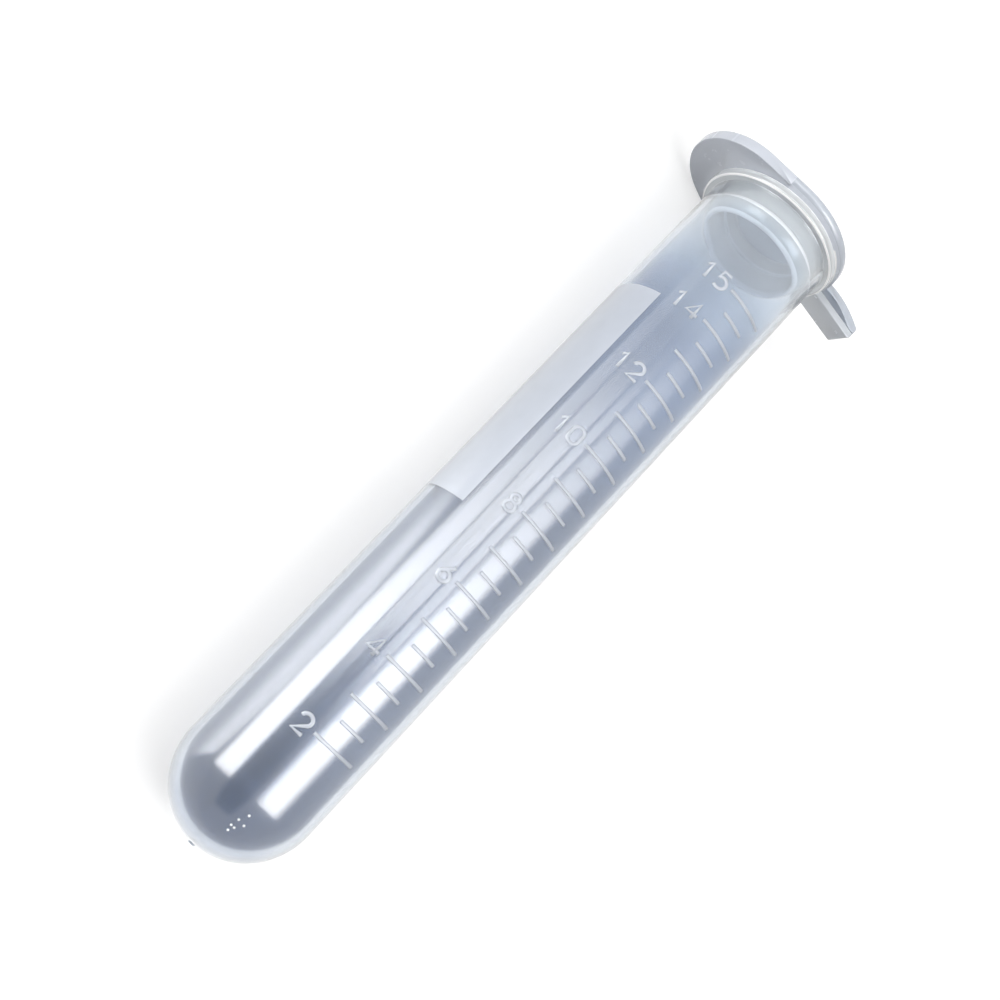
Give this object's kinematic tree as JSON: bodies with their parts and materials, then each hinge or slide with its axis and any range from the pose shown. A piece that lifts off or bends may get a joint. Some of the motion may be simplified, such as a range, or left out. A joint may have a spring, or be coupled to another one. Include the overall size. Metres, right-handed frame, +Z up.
{
  "type": "round-bottom centrifuge tube",
  "caption": "Translucent plastic round-bottom tube with a moulded volume scale and a captive snap cap on a fold-over strap, lying on a bench.",
  "frame": {"origin": "centre of the part's box at the bench, where the lying tube touches it", "axes": "+Z up from the bench; the tube's axis lies along X with its closed end to +X and its mouth and cap to -X, raised 1.1 degrees; the thumb tab points to -Y, 12 degrees below level, and the strap to +Y"},
  "size_m": [0.1002, 0.0312, 0.0204],
  "materials": {
    "tube_polypropylene": "natural translucent polypropylene, glossy, with a frosted writing panel",
    "cap_polypropylene": "natural translucent polypropylene, glossy"
  },
  "bodies": {
    "tube": {"tube": "tube_polypropylene"},
    "cap": {"cap": "cap_polypropylene"}
  },
  "joints": [
    {"name": "cap_hinge", "type": "hinge", "parent": "tube", "child": "cap", "pos_m": [-0.04824, 0.01519, 0.01387], "axis": [-0.0184, 0.2147, -0.9765], "range_deg": [0, 180]}
  ]
}
